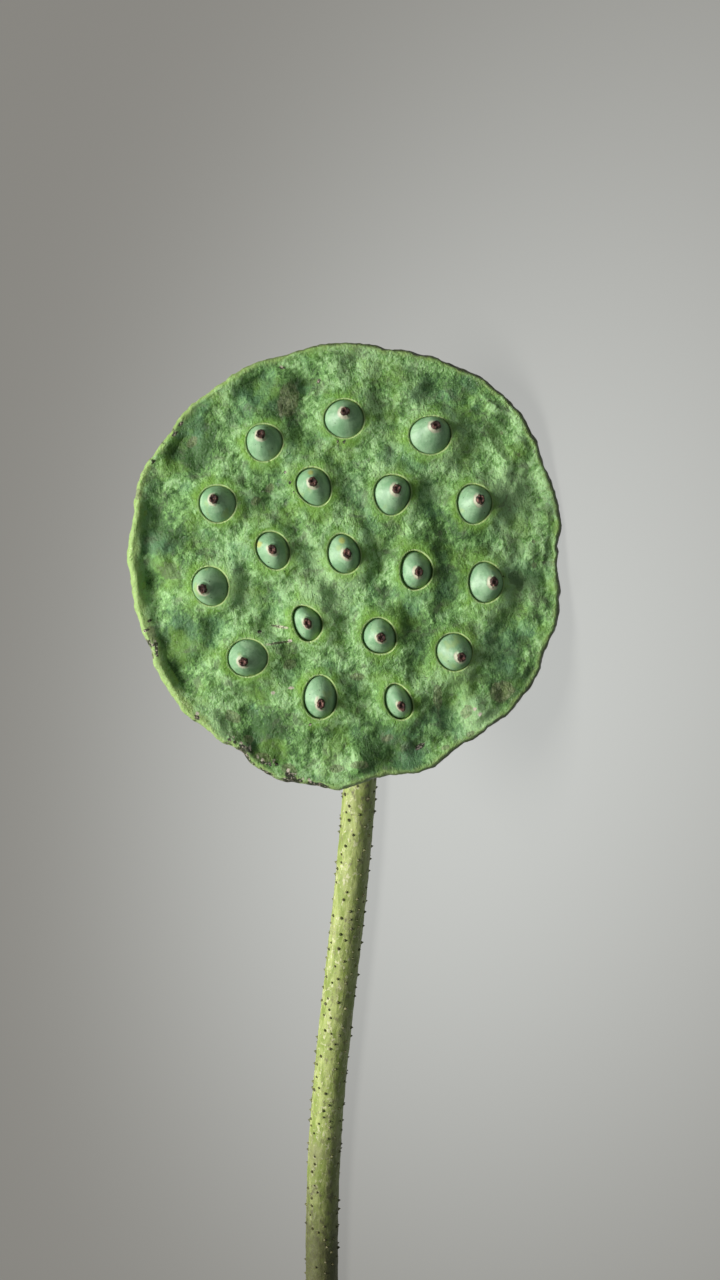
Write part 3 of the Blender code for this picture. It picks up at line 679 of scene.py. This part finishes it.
def make_head(sites, paint):
    """Makes the head's piece."""
    head = Head()
    points, loops = face_net(sites)
    verts = [head.face_vert(u, v) for u, v in points]
    for corners in net_triangles(points, loops, lambda angle: rim_radius(angle) - EDGE_INSETS[0]):
        head.mesh.faces.new([verts[index] for index in corners])
    for site, loop in zip(sites, loops[1:]):
        head.add_chamber([verts[index] for index in loop], site)
    head.add_back([verts[index] for index in loops[0]])
    return head.piece("head", paint, "receptacle", ["receptacle"])


def make_seed(number, site, paint):
    """Makes one seed's piece, with its rough dry stub and the ring round that."""
    seed = Surface("level", "yellow")
    shift = SKIN_STEP * number
    row = []
    top = seed.vert(laid(site.point(-STUB_MIDDLE)), (0.0, 0.0, shift), -STUB_MIDDLE, 0.0)
    rings = [(-height, radius, STUB_ROUGH) for height, radius in STUB_RINGS]
    rings += [(level, site.radius(level), 0.0) for level in SEED_LEVELS]
    for level, radius, rough in rings:
        following = []
        for angle in turns(SEED_SIDES):
            around = polar(1.0, angle, level + 7.0 * number) * 1.4
            swell = 1 + rough * noise.noise(around * 1.6) + 0.006 * noise.noise(around)
            lift = 1.2 * rough * noise.noise(around * 2.3) * smooth(2 * radius)
            lift += RING_RISE * hill(radius - RING_RADIUS, RING_REACH) if level > 0 else 0.0
            point = site.point(level - lift, radius * swell, angle)
            yellow = max(hill(hypot(point.x - u, point.y - v), reach) for u, v, reach in YELLOWS)
            following.append(seed.vert(laid(point), polar(radius, angle, level + shift), level, yellow))
        if not row:
            seed.close(following, top)
        row = seed.join(row, following)
    root = laid(site.point(SEED_CROWN + SEED_ROOT))
    seed.close(row, seed.vert(root, (0.0, 0.0, 16.0 + shift), 16.0, 0.0))
    name = f"seed_{number:02d}"
    return seed.piece(f"{name}_coat", paint, "seed", [name])


def stem_route():
    """The stem's middle line, as distances from the head and world millimetres."""
    base = laid((BASE_OFFSET, 0.0, -BASE_DEPTH - JOINT_GAP))
    back = POD_TO_WORLD @ Vector((0.0, 0.0, -1.0))
    onward = Vector((-cos(HEADING), sin(HEADING), 0.0))
    aside = Vector((-sin(HEADING), -cos(HEADING), 0.0))
    heading = onward + aside * pi * (STEM_BOW + 2 * STEM_SWAY) / (0.9 * STEM_LENGTH)
    heading.normalize()
    turn = back.angle(heading)
    inward = (heading - back * cos(turn)) / sin(turn)
    bend = ((base.z - STEM_RADIUS + SAG) / -back.z - NECK) / tan(turn / 2)
    flat = STEM_LENGTH - NECK - bend * turn
    route = []
    for index in range(-1, round(STEM_END / STEM_STEP) + 1):
        travelled = STEM_STEP * index
        angle = min(turn, max(0.0, travelled - NECK) / bend)
        place = base + back * min(travelled, NECK)
        place += bend * (back * sin(angle) + inward * (1 - cos(angle)))
        share = max(0.0, travelled - NECK - bend * turn) / flat
        sway = STEM_BOW * sin(pi * share) + STEM_SWAY * sin(2 * pi * share)
        place += share * flat * onward + sway * aside
        place.z += ARCH_RISE * sin(pi * share) + (STEM_FOOT_RADIUS - STEM_RADIUS) * share
        route.append((travelled, place))
    return route


def stem_radius(travelled):
    """The stem's radius: the scar collar and neck, then a slow swelling to the cut end."""
    for (start, before), (end, after) in zip(COLLAR_STEPS, COLLAR_STEPS[1:]):
        if travelled < end:
            return before + (after - before) * smooth((travelled - start) / (end - start))
    share = (travelled - COLLAR_STEPS[-1][0]) / (STEM_LENGTH - COLLAR_STEPS[-1][0])
    wobble = STEM_WOBBLE * noise.noise(Vector((travelled / WOBBLE_SPACING, 0.0, 8.0)))
    swelling = (STEM_FOOT_RADIUS - STEM_RADIUS) * share
    return STEM_RADIUS + swelling + wobble * smooth(6 * share) * smooth(6 - 6 * share)


class Stem(Surface):
    """The stem: a tube on its route, its prickles and its cut end."""

    def __init__(self):
        super().__init__("prickle", "cut")
        self.frames = []
        side = POD_TO_WORLD @ Vector((1.0, 0.0, 0.0))
        route = stem_route()
        for index, (travelled, place) in enumerate(route):
            ahead = route[min(index + 1, len(route) - 1)][1] - route[max(index - 1, 0)][1]
            ahead.normalize()
            side = (side - side.dot(ahead) * ahead).normalized()
            self.frames.append((travelled, place, side, ahead.cross(side), ahead))

    def spot(self, stage, angle):
        """World and skin places at a turn round one of the frames."""
        travelled, place, side, other, _ = stage
        lift = 0.0
        radius = stem_radius(travelled)
        for rise, waves, spacing in STEM_BUMPS:
            lift += rise * noise.noise(polar(waves, angle, travelled / spacing))
        out = side * cos(angle) + other * sin(angle)
        return place + (radius + lift) * out, polar(radius, angle, travelled)

    def add_tube(self):
        """Adds the tube, closed inside the head, and gives back its last ring."""
        row = []
        for stage in self.frames:
            following = [self.vert(*self.spot(stage, angle), 0.0, 0.0) for angle in turns(STEM_SIDES)]
            if not row:
                self.mesh.faces.new(following)
            row = self.join(row, following)
        return row

    def add_prickles(self):
        """Adds small sharp prickles all round, with their roots in the stem."""
        chance = random.Random(5)
        placed = []
        while len(placed) < PRICKLES:
            stage = self.frames[int(chance.uniform(CLEAR_HEAD, len(self.frames) - CLEAR_FOOT))]
            angle = chance.uniform(0.0, 2 * pi)
            size = chance.uniform(*PRICKLE_SIZES)
            middle, skin = self.spot(stage, angle)
            if middle.z > 0.5 and all((middle - other).length > PRICKLE_GAP for other in placed):
                placed.append(middle)
                self.add_prickle(stage, angle, middle, skin, size)

    def add_prickle(self, stage, angle, middle, skin, size):
        """Adds one prickle, which leans a little towards the head."""
        _, _, side, other, ahead = stage
        out = side * cos(angle) + other * sin(angle)
        across = out.cross(ahead)
        lean = out - PRICKLE_LEAN * ahead
        row = []
        for height, radius in PRICKLE_RINGS:
            following = []
            for turn in turns(PRICKLE_SIDES):
                off = height * lean + radius * (across * cos(turn) + ahead * sin(turn))
                following.append(self.vert(middle + size * off, skin, 0.7 + 0.5 * height, 0.0))
            row = self.join(row, following)
        self.close(row, self.vert(middle + size * PRICKLE_RISE * lean, skin, 1.0, 0.0))

    def add_cut(self, rim):
        """Closes the cut end with a flat face and its air canals."""
        travelled, place, side, other, _ = self.frames[-1]
        points = [polar(STEM_FOOT_RADIUS, angle) for angle in turns(STEM_SIDES)]
        loops = [range(STEM_SIDES)]
        for turn in turns(CANALS):
            loops.append(range(len(points), len(points) + CANAL_SIDES))
            points += [polar(CANAL_RING, turn) + polar(CANAL_RADIUS, angle) for angle in turns(CANAL_SIDES)]
        points += [CUT_RING * point for point in points[:STEM_SIDES:2]] + [Vector((0.0, 0.0, 0.0))]
        verts = list(rim)
        for x, y, _ in points[STEM_SIDES:]:
            verts.append(self.vert(place + side * x + other * y, (x, y, travelled), 0.0, 1.0))
        for corners in net_triangles(points, loops, lambda _: STEM_FOOT_RADIUS):
            self.mesh.faces.new([verts[index] for index in corners])
        for loop in loops[1:]:
            self.add_canal([verts[index] for index in loop], [points[index] for index in loop])

    def add_canal(self, row, points):
        """Adds one blind air canal in the cut end."""
        travelled, place, side, other, ahead = self.frames[-1]
        end = place - CANAL_DEPTH * ahead
        skins = [(x, y, travelled) for x, y, _ in points]
        following = [self.vert(end + side * x + other * y, (x, y, z), 0.0, 0.4) for x, y, z in skins]
        self.mesh.faces.new(self.join(row, following))


def make_stem(paint):
    """Makes the stem's piece."""
    stem = Stem()
    rim = stem.add_tube()
    stem.add_cut(rim)
    stem.add_prickles()
    return stem.piece("stalk", paint, "stem", ["stem"])


class Paint:
    """A procedural material in the making, whose tone is laid on in coats."""

    def __init__(self, name):
        self.made = bpy.data.materials.new(name)
        self.made.use_nodes = True
        self.tree = self.made.node_tree
        self.shader = self.tree.nodes["Principled BSDF"]
        self.tone = None

    def put(self, socket, value):
        """Sets a socket, or links another node's output to it."""
        if isinstance(value, bpy.types.NodeSocket):
            self.tree.links.new(value, socket)
        else:
            socket.default_value = value

    def node(self, kind, inputs, **settings):
        """Adds a node with some of its inputs and settings."""
        made = self.tree.nodes.new("ShaderNode" + kind)
        for name, value in settings.items():
            setattr(made, name, value)
        for name, value in inputs.items():
            self.put(made.inputs[name], value)
        return made

    def finish(self, flesh=None, **inputs):
        """Sets the shader's inputs, with the share, radius and scale of light in the flesh."""
        inputs.setdefault("Base_Color", self.tone)
        if flesh:
            inputs.update(zip(("Subsurface_Weight", "Subsurface_Radius", "Subsurface_Scale"), flesh))
        for name, value in inputs.items():
            self.put(self.shader.inputs[name.replace("_", " ")], value)
        return self.made

    def value(self, name):
        """A value that the vertices keep."""
        return self.node("Attribute", {}, attribute_name=name).outputs["Fac"]

    def skin(self, size=(1, 1, 1), place=(0, 0, 0), turn=0.0, kind="POINT"):
        """The bare skin's coordinates, for a texture with marks of a size in millimetres."""
        places = self.node("Attribute", {}, attribute_name="skin").outputs["Vector"]
        scale = [1.0 / side for side in size] if kind == "POINT" else size
        inputs = {"Vector": places, "Scale": scale, "Location": place, "Rotation": (0.0, 0.0, turn)}
        return self.node("Mapping", inputs, vector_type=kind).outputs["Vector"]

    def axis(self, name):
        """One of the bare skin's coordinates."""
        return self.node("SeparateXYZ", {"Vector": self.skin()}).outputs[name]

    def towards(self, share_u, share_v):
        """How far the bare skin lies in a direction across the face."""
        return self.sum(self.times(self.axis("X"), share_u), self.times(self.axis("Y"), share_v))

    def clouds(self, size, detail=4.0, rough=0.6, place=(0, 0, 0), turn=0.0, twist=0.0):
        """Cloudy noise about 0.5, its clouds of one size or of three in millimetres."""
        sizes = size if isinstance(size, tuple) else (size, size, size)
        places = self.skin(sizes, place, turn, "TEXTURE" if turn else "POINT")
        inputs = {"Vector": places, "Scale": 1.0, "Detail": detail, "Roughness": rough, "Distortion": twist}
        return self.node("TexNoise", inputs).outputs["Fac"]

    def step(self, value, low, high, to=1.0):
        """A smooth step of a value, from 0 at low to another at high."""
        inputs = {"Value": value, "From Min": low, "From Max": high, "To Max": to}
        return self.node("MapRange", inputs, interpolation_type="SMOOTHSTEP").outputs["Result"]

    def sum(self, *values, operation="ADD"):
        """Values added, or joined in another way."""
        total = values[0]
        for value in values[1:]:
            total = self.node("Math", {0: total, 1: value}, operation=operation).outputs["Value"]
        return total

    def times(self, first, second):
        """One value times another."""
        return self.sum(first, second, operation="MULTIPLY")

    def mix(self, share, *tones):
        """One tone over another, each a node's output or a colour in picture values."""
        made = self.node("Mix", {"Factor": share}, data_type="RGBA")
        for socket, tone in zip((one for one in made.inputs if one.type == "RGBA"), tones):
            self.put(socket, colour(*tone) if isinstance(tone, tuple) else tone)
        return next(one for one in made.outputs if one.type == "RGBA")

    def lay(self, share, tone):
        """Lays another tone over what is there."""
        self.tone = self.mix(share, self.tone, tone)

    def coats(self, *rows):
        """Lays tones where values step up, in rows of a value, its step and the tone."""
        for value, step, tone in rows:
            self.lay(self.step(value, *step), tone)

    def bump(self, height, depth, under=None):
        """The surface's direction with a relief of a depth in millimetres."""
        inputs = {"Height": height, "Distance": depth * MM, "Strength": 1.0}
        if under:
            inputs["Normal"] = under
        return self.node("Bump", inputs).outputs["Normal"]


def colour(*values):
    """An opaque colour from picture values out of 255."""
    linear = [((value / 255 + 0.055) / 1.055) ** 2.4 if value else 0.0 for value in values]
    return (*linear, 1.0)


def head_paint():
    """Mottled green skin, yellower round the mouths and at the lip, with stains and harm, and painted light
    and shade: a paler lip on the lit left, a dark lip edge on the right, darker hollows.
    """
    paint = Paint("green_skin")
    mouth, rim, rim_shade = paint.value("mouth"), paint.value("rim"), paint.value("rim_shade")
    patches = paint.clouds(7.0, twist=0.4)
    felt = paint.clouds((0.7, 2.0, 1.5), 4.0, 0.64, (5, 0, 0), 0.3, 1.0)
    cross = paint.clouds((0.7, 2.0, 1.5), 4.0, 0.64, (0, 9, 0), -0.8, 1.0)
    fibres = paint.times(paint.sum(felt, cross), 0.5)
    blots = paint.clouds(2.6, 4.0, 0.6, (0, 0, 50), twist=0.5)
    crumbs = paint.clouds(0.9, 4.0, 0.7, (3, 8, 0))
    flakes = paint.clouds(0.5, 2.0, 0.6, (3, 0, 6))

    # Patches from the list lighten or darken the tone; the relief adds painted shade and light, hollows a
    # little darker and raised skin lighter.
    patches_and_hollow_shade = paint.sum(paint.times(paint.value("lift"), 1.4), paint.times(paint.value("proud"), 0.08))
    light = paint.sum(paint.times(patches, 0.8), blots, paint.times(fibres, 1.5), patches_and_hollow_shade)
    paint.tone = paint.mix(paint.step(light, 1.38, 1.64), (76, 115, 61), (126, 176, 98))
    # The pale band along the lip is partly its own colour; towards the left, where the key light falls, it
    # is widened as painted light.
    wider = paint.step(paint.towards(-0.966, -0.259), 38.0, 47.0, -1.6)
    paint.coats(
        (light, (1.59, 1.85), (182, 226, 158)),
        (paint.clouds(11.0, 3.0, 0.55, (40, 0, 0)), (0.5, 0.64, 0.4), (122, 172, 130)),
        (paint.clouds(8.0, 3.0, 0.55, (0, 60, 0)), (0.5, 0.66, 0.45), (132, 176, 66)),
        (paint.clouds(4.5, 5.0, 0.68, (0, 0, 70), twist=0.6), (0.53, 0.66, 0.6), (104, 118, 88)),
        (paint.sum(mouth, paint.times(paint.sum(patches, blots), 5.0)), (7.8, 4.4, 0.65), (148, 202, 78)),
        (paint.sum(mouth, paint.times(fibres, 0.6)), (0.58, 0.3, 0.8), (212, 236, 172)),
        (paint.sum(rim, paint.times(blots, 3.0), wider), (3.6, 1.4, 0.85), (176, 206, 124)),
    )
    # Painted shade: the lip's outer edge is dark olive on the right, the side away from the key light.
    paint.lay(paint.times(rim_shade, paint.step(rim, 0.9, 0.1, 0.9)), (56, 54, 22))
    streaks = paint.clouds((3, 3, 22))
    back = paint.mix(paint.step(streaks, 0.4, 0.62), (96, 136, 66), (152, 184, 102))
    # The back is streaked; the chamber walls just inside the mouths are paler, partly their own tone and
    # partly painted light that lifts their shade.
    paint.coats((rim, (-1.5, -6.0), back), (mouth, (-0.05, -1.0), (176, 204, 110)))

    stain = paint.mix(paint.step(crumbs, 0.42, 0.6), (87, 89, 61), (154, 157, 120))
    husk = paint.mix(paint.step(flakes, 0.55, 0.62), (42, 40, 32), (196, 180, 168))
    for name, rag, share, tone in (
        ("olive", blots, 0.55, (74, 104, 44)),
        ("brown", blots, 0.58, stain),
        ("black", crumbs, 0.92, husk),
        ("pale", crumbs, 0.9, (228, 216, 200)),
    ):
        paint.coats((paint.sum(paint.value(name), rag), (0.92, 1.14, share), tone))
    # The scratches: pale dashes, with dark dashes among them painted as the scratches' shade.
    dashes_with_shade = paint.mix(paint.step(crumbs, 0.4, 0.5), (222, 220, 188), (60, 58, 36))
    for u, v, length, width, turn in SCRATCHES:
        off = paint.skin((length, width, 1000.0), (u, v, 0.0), radians(turn), "TEXTURE")
        far = paint.node("VectorMath", {0: off}, operation="LENGTH").outputs["Value"]
        paint.lay(paint.step(paint.sum(far, paint.times(crumbs, 1.6)), 1.9, 1.5, 0.85), dashes_with_shade)
    paint.coats((paint.clouds(1.1, 2.0, 0.5, (0, 33, 0)), (0.745, 0.775, 0.8), (40, 48, 24)))
    return paint.finish(
        flesh=(0.12, (0.5, 1.0, 0.2), 0.0015),
        Roughness=paint.step(fibres, 0.3, 0.7, 0.75),
        Normal=paint.bump(fibres, 0.65, paint.bump(paint.clouds(0.7, 3.0, 0.6), 0.32)),
        Specular_IOR_Level=0.35,
    )


def seed_paint():
    """Waxy blue-green coats, a pale ring round the dry brown stub painted only on its lit side as a painted
    highlight, and a few specks.
    """
    paint = Paint("seed_coat")
    level = paint.value("level")
    bloom = paint.clouds(3.5, twist=0.5)
    fine = paint.clouds(0.7)
    paint.tone = paint.mix(paint.step(bloom, 0.38, 0.64), (132, 176, 132), (166, 204, 162))
    paint.coats(
        (paint.clouds(5.0, 2.0, 0.5, (11, 0, 0)), (0.6, 0.72, 0.45), (176, 196, 112)),
        (paint.sum(paint.value("yellow"), paint.times(fine, 0.6)), (0.7, 1.2, 0.7), (196, 194, 96)),
        (fine, (0.6, 0.7, 0.4), (92, 130, 98)),
    )
    ring = paint.step(paint.sum(level, paint.times(fine, 0.4)), 1.0, 0.75)
    # Painted highlight: the pale ring round the stub is laid only on its lower-left side, where the key
    # light falls.
    side = paint.step(paint.towards(-0.84, -0.54), -0.9, 0.5, 0.85)
    paint.lay(paint.times(side, ring), (206, 200, 176))
    dry = paint.step(paint.sum(level, paint.times(fine, 0.5)), 0.25, 0.08)
    bark = paint.mix(paint.step(fine, 0.48, 0.6), (50, 30, 25), (134, 92, 82))
    paint.lay(dry, paint.mix(paint.step(fine, 0.62, 0.7, 0.7), bark, (200, 168, 150)))
    paint.coats((paint.clouds(0.8, 1.0, 0.5, (0, 21, 0)), (0.74, 0.77, 0.8), (48, 60, 40)))
    return paint.finish(
        flesh=(0.08, (0.5, 1.0, 0.6), 0.001),
        Roughness=paint.sum(paint.times(fine, 0.3), 0.3, paint.times(dry, 0.35)),
        Normal=paint.bump(fine, 0.12),
        Coat_Weight=0.06,
        Coat_Roughness=0.3,
    )


def stem_paint():
    """Yellow-green skin with streaks and scars, olive towards the foot, and dark prickles."""
    paint = Paint("stalk_skin")
    travelled = paint.axis("Z")
    streaks = paint.clouds((1.8, 1.8, 7.0), twist=0.6)
    blush = paint.clouds((5, 5, 9), 4.0, 0.6, (0, 0, 30))
    grey = paint.clouds((1.6, 1.6, 2.6), 5.0, 0.7, (9, 0, 0))
    pale = paint.clouds((1.2, 1.2, 1.6), 3.0, 0.6, (0, 5, 0))
    scars = paint.clouds((1.6, 1.6, 0.4), 3.0, 0.6, (0, 15, 0))
    ends = paint.sum(paint.step(travelled, 95.0, 50.0, 0.22), paint.step(travelled, 175.0, 235.0, 0.3))
    paint.tone = paint.mix(paint.step(streaks, 0.36, 0.64), (145, 164, 79), (190, 202, 127))
    paint.coats(
        (blush, (0.54, 0.68, 0.6), (176, 178, 128)),
        (grey, (0.54, 0.64, 0.7), (132, 130, 92)),
        (pale, (0.58, 0.65, 0.75), (224, 224, 180)),
        (scars, (0.70, 0.74, 0.75), (84, 78, 50)),
        (paint.sum(grey, ends), (0.62, 0.8, 0.75), (104, 100, 78)),
        (paint.sum(travelled, paint.times(blush, 40.0)), (190.0, 242.0, 0.85), (84, 86, 50)),
    )
    flesh = paint.mix(paint.step(grey, 0.42, 0.6), (196, 196, 140), (228, 224, 186))
    paint.lay(paint.value("cut"), flesh)
    thorn = paint.mix(paint.step(pale, 0.4, 0.6), (62, 58, 38), (108, 102, 68))
    paint.coats((paint.value("prickle"), (0.55, 0.7, 0.8), thorn))
    return paint.finish(
        flesh=(0.08, (0.8, 1.0, 0.2), 0.0012),
        Roughness=paint.sum(0.42, paint.times(grey, 0.3)),
        Normal=paint.bump(paint.sum(streaks, grey, pale), 0.16),
    )


def floor_paint():
    """Plain pale paper that glows, with a painted pool of light on it."""
    paint = Paint("glowing_paper")
    places = paint.node("NewGeometry", {}).outputs["Position"]
    pool = {"Vector": places, "Location": POOL_PLACE, "Rotation": POOL_TURN, "Scale": POOL_SIZE}
    off = paint.node("Mapping", pool, vector_type="TEXTURE").outputs["Vector"]
    square = paint.node("VectorMath", {0: off, 1: off}, operation="DOT_PRODUCT").outputs["Value"]
    glow = paint.sum(paint.times(square, -1.0), 0.0, operation="EXPONENT")
    tone = paint.mix(glow, (137, 135, 130), (204, 206, 203))
    return paint.finish(
        Base_Color=paint.mix(0.9, tone, (0, 0, 0)),
        Roughness=0.9,
        Specular_IOR_Level=0.0,
        # The paper glows: most of its brightness is painted light, so shadows on it stay faint.
        Emission_Color=tone,
        Emission_Strength=0.84,
    )


def add_floor():
    """Adds the floor that the pod lies on."""
    mesh = bmesh.new()
    bmesh.ops.create_grid(mesh, x_segments=2, y_segments=2, size=20.0)
    floor = add_mesh("floor", mesh, floor_paint())
    floor.visible_diffuse = False


def add_light(towards, distance, size, power, tint):
    """Adds a soft square light in a direction of the pod's frame from the face."""
    data = bpy.data.lights.new("key", "AREA")
    data.size = size
    data.energy = power
    data.color = tint
    light = add_object("key", data)
    direction = (POD_TO_WORLD @ Vector(towards)).normalized()
    light.location = FACE_CENTRE * MM + direction * distance
    light.rotation_euler = direction.to_track_quat("Z", "Y").to_euler()


def add_camera():
    """Adds the camera straight above the face, with the pod's up as the picture's."""
    data = bpy.data.cameras.new("camera")
    data.sensor_width = SENSOR_HEIGHT
    data.lens = SENSOR_HEIGHT * VIEW_DISTANCE / VIEW_HEIGHT
    data.clip_start = 0.01
    camera = add_object("camera", data)
    place = laid((*VIEW_MIDDLE, VIEW_DISTANCE)) * MM
    camera.matrix_world = Matrix.Translation(place) @ POD_TO_WORLD.to_4x4()
    bpy.context.scene.camera = camera


def set_scene():
    """Sets the floor, the lights, the camera and how light becomes picture values."""
    add_floor()
    add_light(towards=(-0.9, 0.0, 0.43), distance=1.6, size=0.8, power=38.2, tint=(1.0, 0.985, 0.95))
    world = bpy.data.worlds.new("studio")
    world.use_nodes = True
    background = world.node_tree.nodes["Background"]
    background.inputs["Color"].default_value = ROOM_TINT
    background.inputs["Strength"].default_value = ROOM_LIGHT
    bpy.context.scene.world = world
    bpy.context.scene.view_settings.view_transform = "Standard"
    add_camera()


def dress():
    """Makes the pieces."""
    sites = [SeedSite(row) for row in SEEDS]
    make_head(sites, head_paint())
    coat = seed_paint()
    for number, site in enumerate(sites, 1):
        make_seed(number, site, coat)
    make_stem(stem_paint())


dress()
set_scene()
